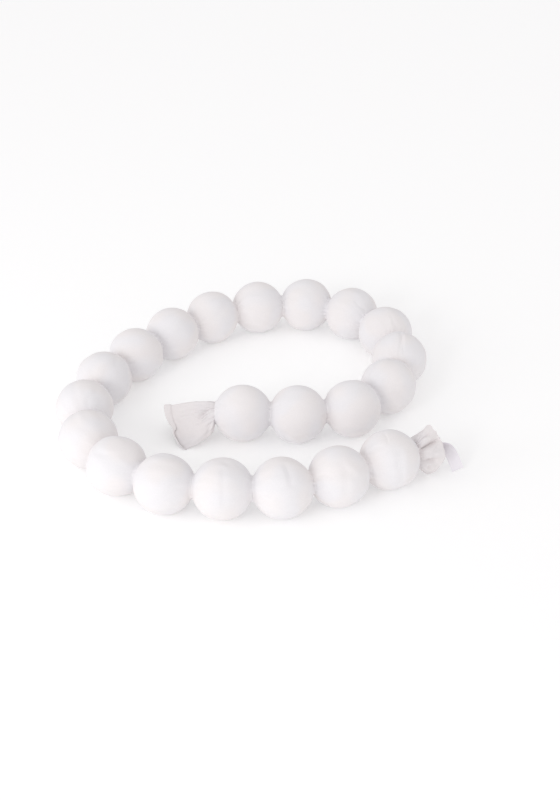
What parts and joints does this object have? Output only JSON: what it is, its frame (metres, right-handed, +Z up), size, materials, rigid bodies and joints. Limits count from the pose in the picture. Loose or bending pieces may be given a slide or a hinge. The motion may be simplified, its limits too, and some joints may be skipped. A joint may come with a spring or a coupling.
{
  "type": "ball garland",
  "caption": "Soft fabric-covered balls gathered into a narrow tube, lying in an open curl, with flared tube ends and a short ribbon for tying it up.",
  "frame": {"origin": "on the surface that the garland lies on, under the middle of its footprint", "axes": "+Z up; the front row of balls lies towards -Y, and its last ball, with the ribbon, towards +X"},
  "size_m": [0.4212, 0.4116, 0.0594],
  "materials": {
    "cotton": "matt, fine knit",
    "ribbon": "soft satin weave"
  },
  "bodies": {
    "root": {"ball_01": "cotton", "ball_02": "cotton", "ball_03": "cotton", "ball_04": "cotton", "ball_05": "cotton", "ball_06": "cotton", "ball_07": "cotton", "ball_08": "cotton", "ball_09": "cotton", "ball_10": "cotton", "ball_11": "cotton", "ball_12": "cotton", "ball_13": "cotton", "ball_14": "cotton", "ball_15": "cotton", "ball_16": "cotton", "ball_17": "cotton", "ball_18": "cotton", "ball_19": "cotton", "ball_20": "cotton", "ball_21": "cotton", "ribbon_tail": "cotton", "plain_tail": "cotton", "ribbon": "ribbon"}
  },
  "joints": []
}
